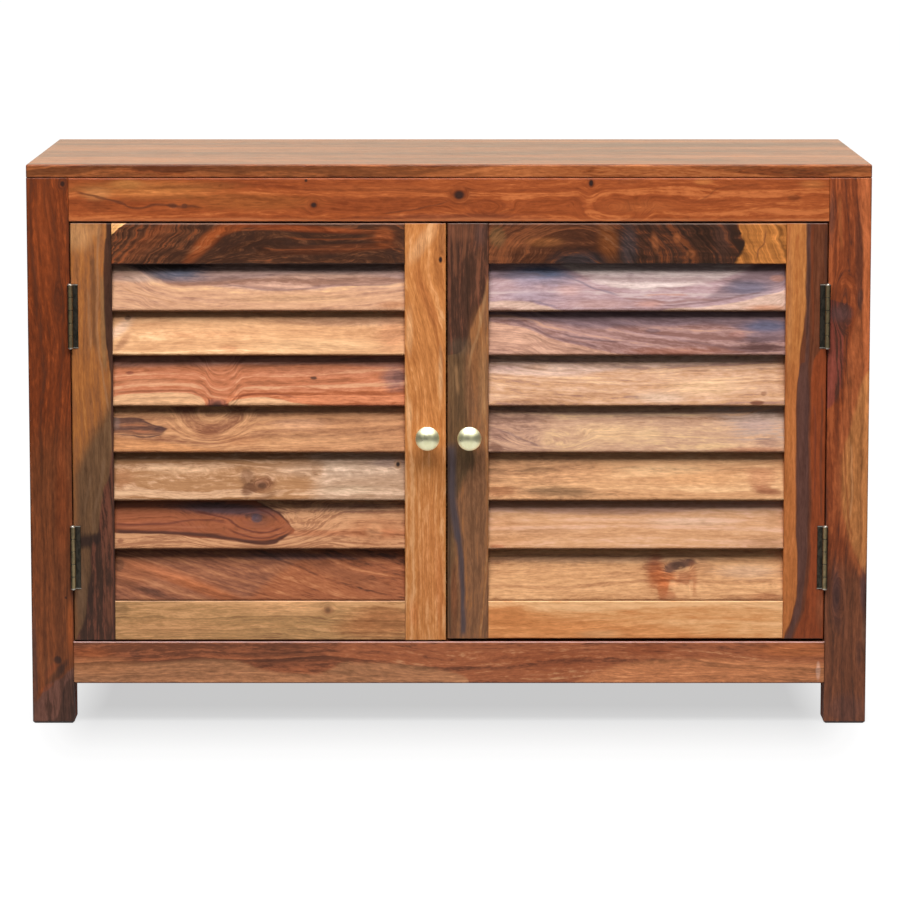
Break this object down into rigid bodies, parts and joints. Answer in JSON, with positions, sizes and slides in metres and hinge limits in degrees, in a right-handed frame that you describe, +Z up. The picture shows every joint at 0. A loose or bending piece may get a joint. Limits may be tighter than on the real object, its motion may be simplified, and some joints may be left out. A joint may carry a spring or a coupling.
{
  "type": "louvred door cabinet",
  "caption": "Low free-standing hardwood cabinet with louvred double doors on butt hinges, turned brass knobs, panelled sides, a flush top and an inner shelf.",
  "frame": {"origin": "on the floor under the middle of the whole object, knobs included", "axes": "+X to the right as seen from the front, along the width; +Y from the doors to the back; +Z up"},
  "size_m": [1, 0.4774, 0.672],
  "materials": {
    "frame_wood": "reddish-brown sheesham, satin lacquer",
    "top_wood": "sheesham in planks, satin lacquer with a soft sheen",
    "door_wood": "sheesham with dark heart and honey sapwood, satin lacquer",
    "slat_wood": "pale tan to reddish sheesham, satin lacquer",
    "panel_wood": "sheesham, thin satin lacquer",
    "antique_brass": "darkened antique brass",
    "polished_brass": "pale polished brass",
    "steel": "plain zinc-plated steel"
  },
  "bodies": {
    "case": {"top_board": "top_wood", "front_left_leg": "frame_wood", "front_right_leg": "frame_wood", "rear_left_leg": "frame_wood", "rear_right_leg": "frame_wood", "front_top_rail": "frame_wood", "front_bottom_rail": "frame_wood", "rear_top_rail": "frame_wood", "rear_bottom_rail": "frame_wood", "left_top_side_rail": "frame_wood", "left_bottom_side_rail": "frame_wood", "right_top_side_rail": "frame_wood", "right_bottom_side_rail": "frame_wood", "left_side_panel": "panel_wood", "right_side_panel": "panel_wood", "back_panel": "panel_wood", "bottom_board": "panel_wood", "shelf": "panel_wood", "left_shelf_cleat": "panel_wood", "right_shelf_cleat": "panel_wood", "cleat_screws": "steel", "door_stop_batten": "panel_wood", "catch_magnets": "steel", "left_leg_leaves": "antique_brass", "right_leg_leaves": "antique_brass", "hinge_pins": "antique_brass", "leg_leaf_screws": "steel"},
    "left_door": {"left_hinge_stile": "door_wood", "left_meeting_stile": "door_wood", "left_door_top_rail": "door_wood", "left_door_bottom_rail": "door_wood", "left_slat_1": "slat_wood", "left_slat_2": "slat_wood", "left_slat_3": "slat_wood", "left_slat_4": "slat_wood", "left_slat_5": "slat_wood", "left_slat_6": "slat_wood", "left_slat_7": "slat_wood", "left_knob": "polished_brass", "left_knob_screw": "steel", "left_door_leaves": "antique_brass", "left_door_leaf_screws": "steel", "left_strike": "steel"},
    "right_door": {"right_hinge_stile": "door_wood", "right_meeting_stile": "door_wood", "right_door_top_rail": "door_wood", "right_door_bottom_rail": "door_wood", "right_slat_1": "slat_wood", "right_slat_2": "slat_wood", "right_slat_3": "slat_wood", "right_slat_4": "slat_wood", "right_slat_5": "slat_wood", "right_slat_6": "slat_wood", "right_slat_7": "slat_wood", "right_knob": "polished_brass", "right_knob_screw": "steel", "right_door_leaves": "antique_brass", "right_door_leaf_screws": "steel", "right_strike": "steel"}
  },
  "joints": [
    {"name": "left_door_hinge", "type": "hinge", "parent": "case", "child": "left_door", "pos_m": [-0.4494, -0.21465, 0.35], "axis": [0, 0, -1], "range_deg": [0, 180]},
    {"name": "right_door_hinge", "type": "hinge", "parent": "case", "child": "right_door", "pos_m": [0.4494, -0.21465, 0.35], "axis": [0, 0, 1], "range_deg": [0, 180]}
  ]
}
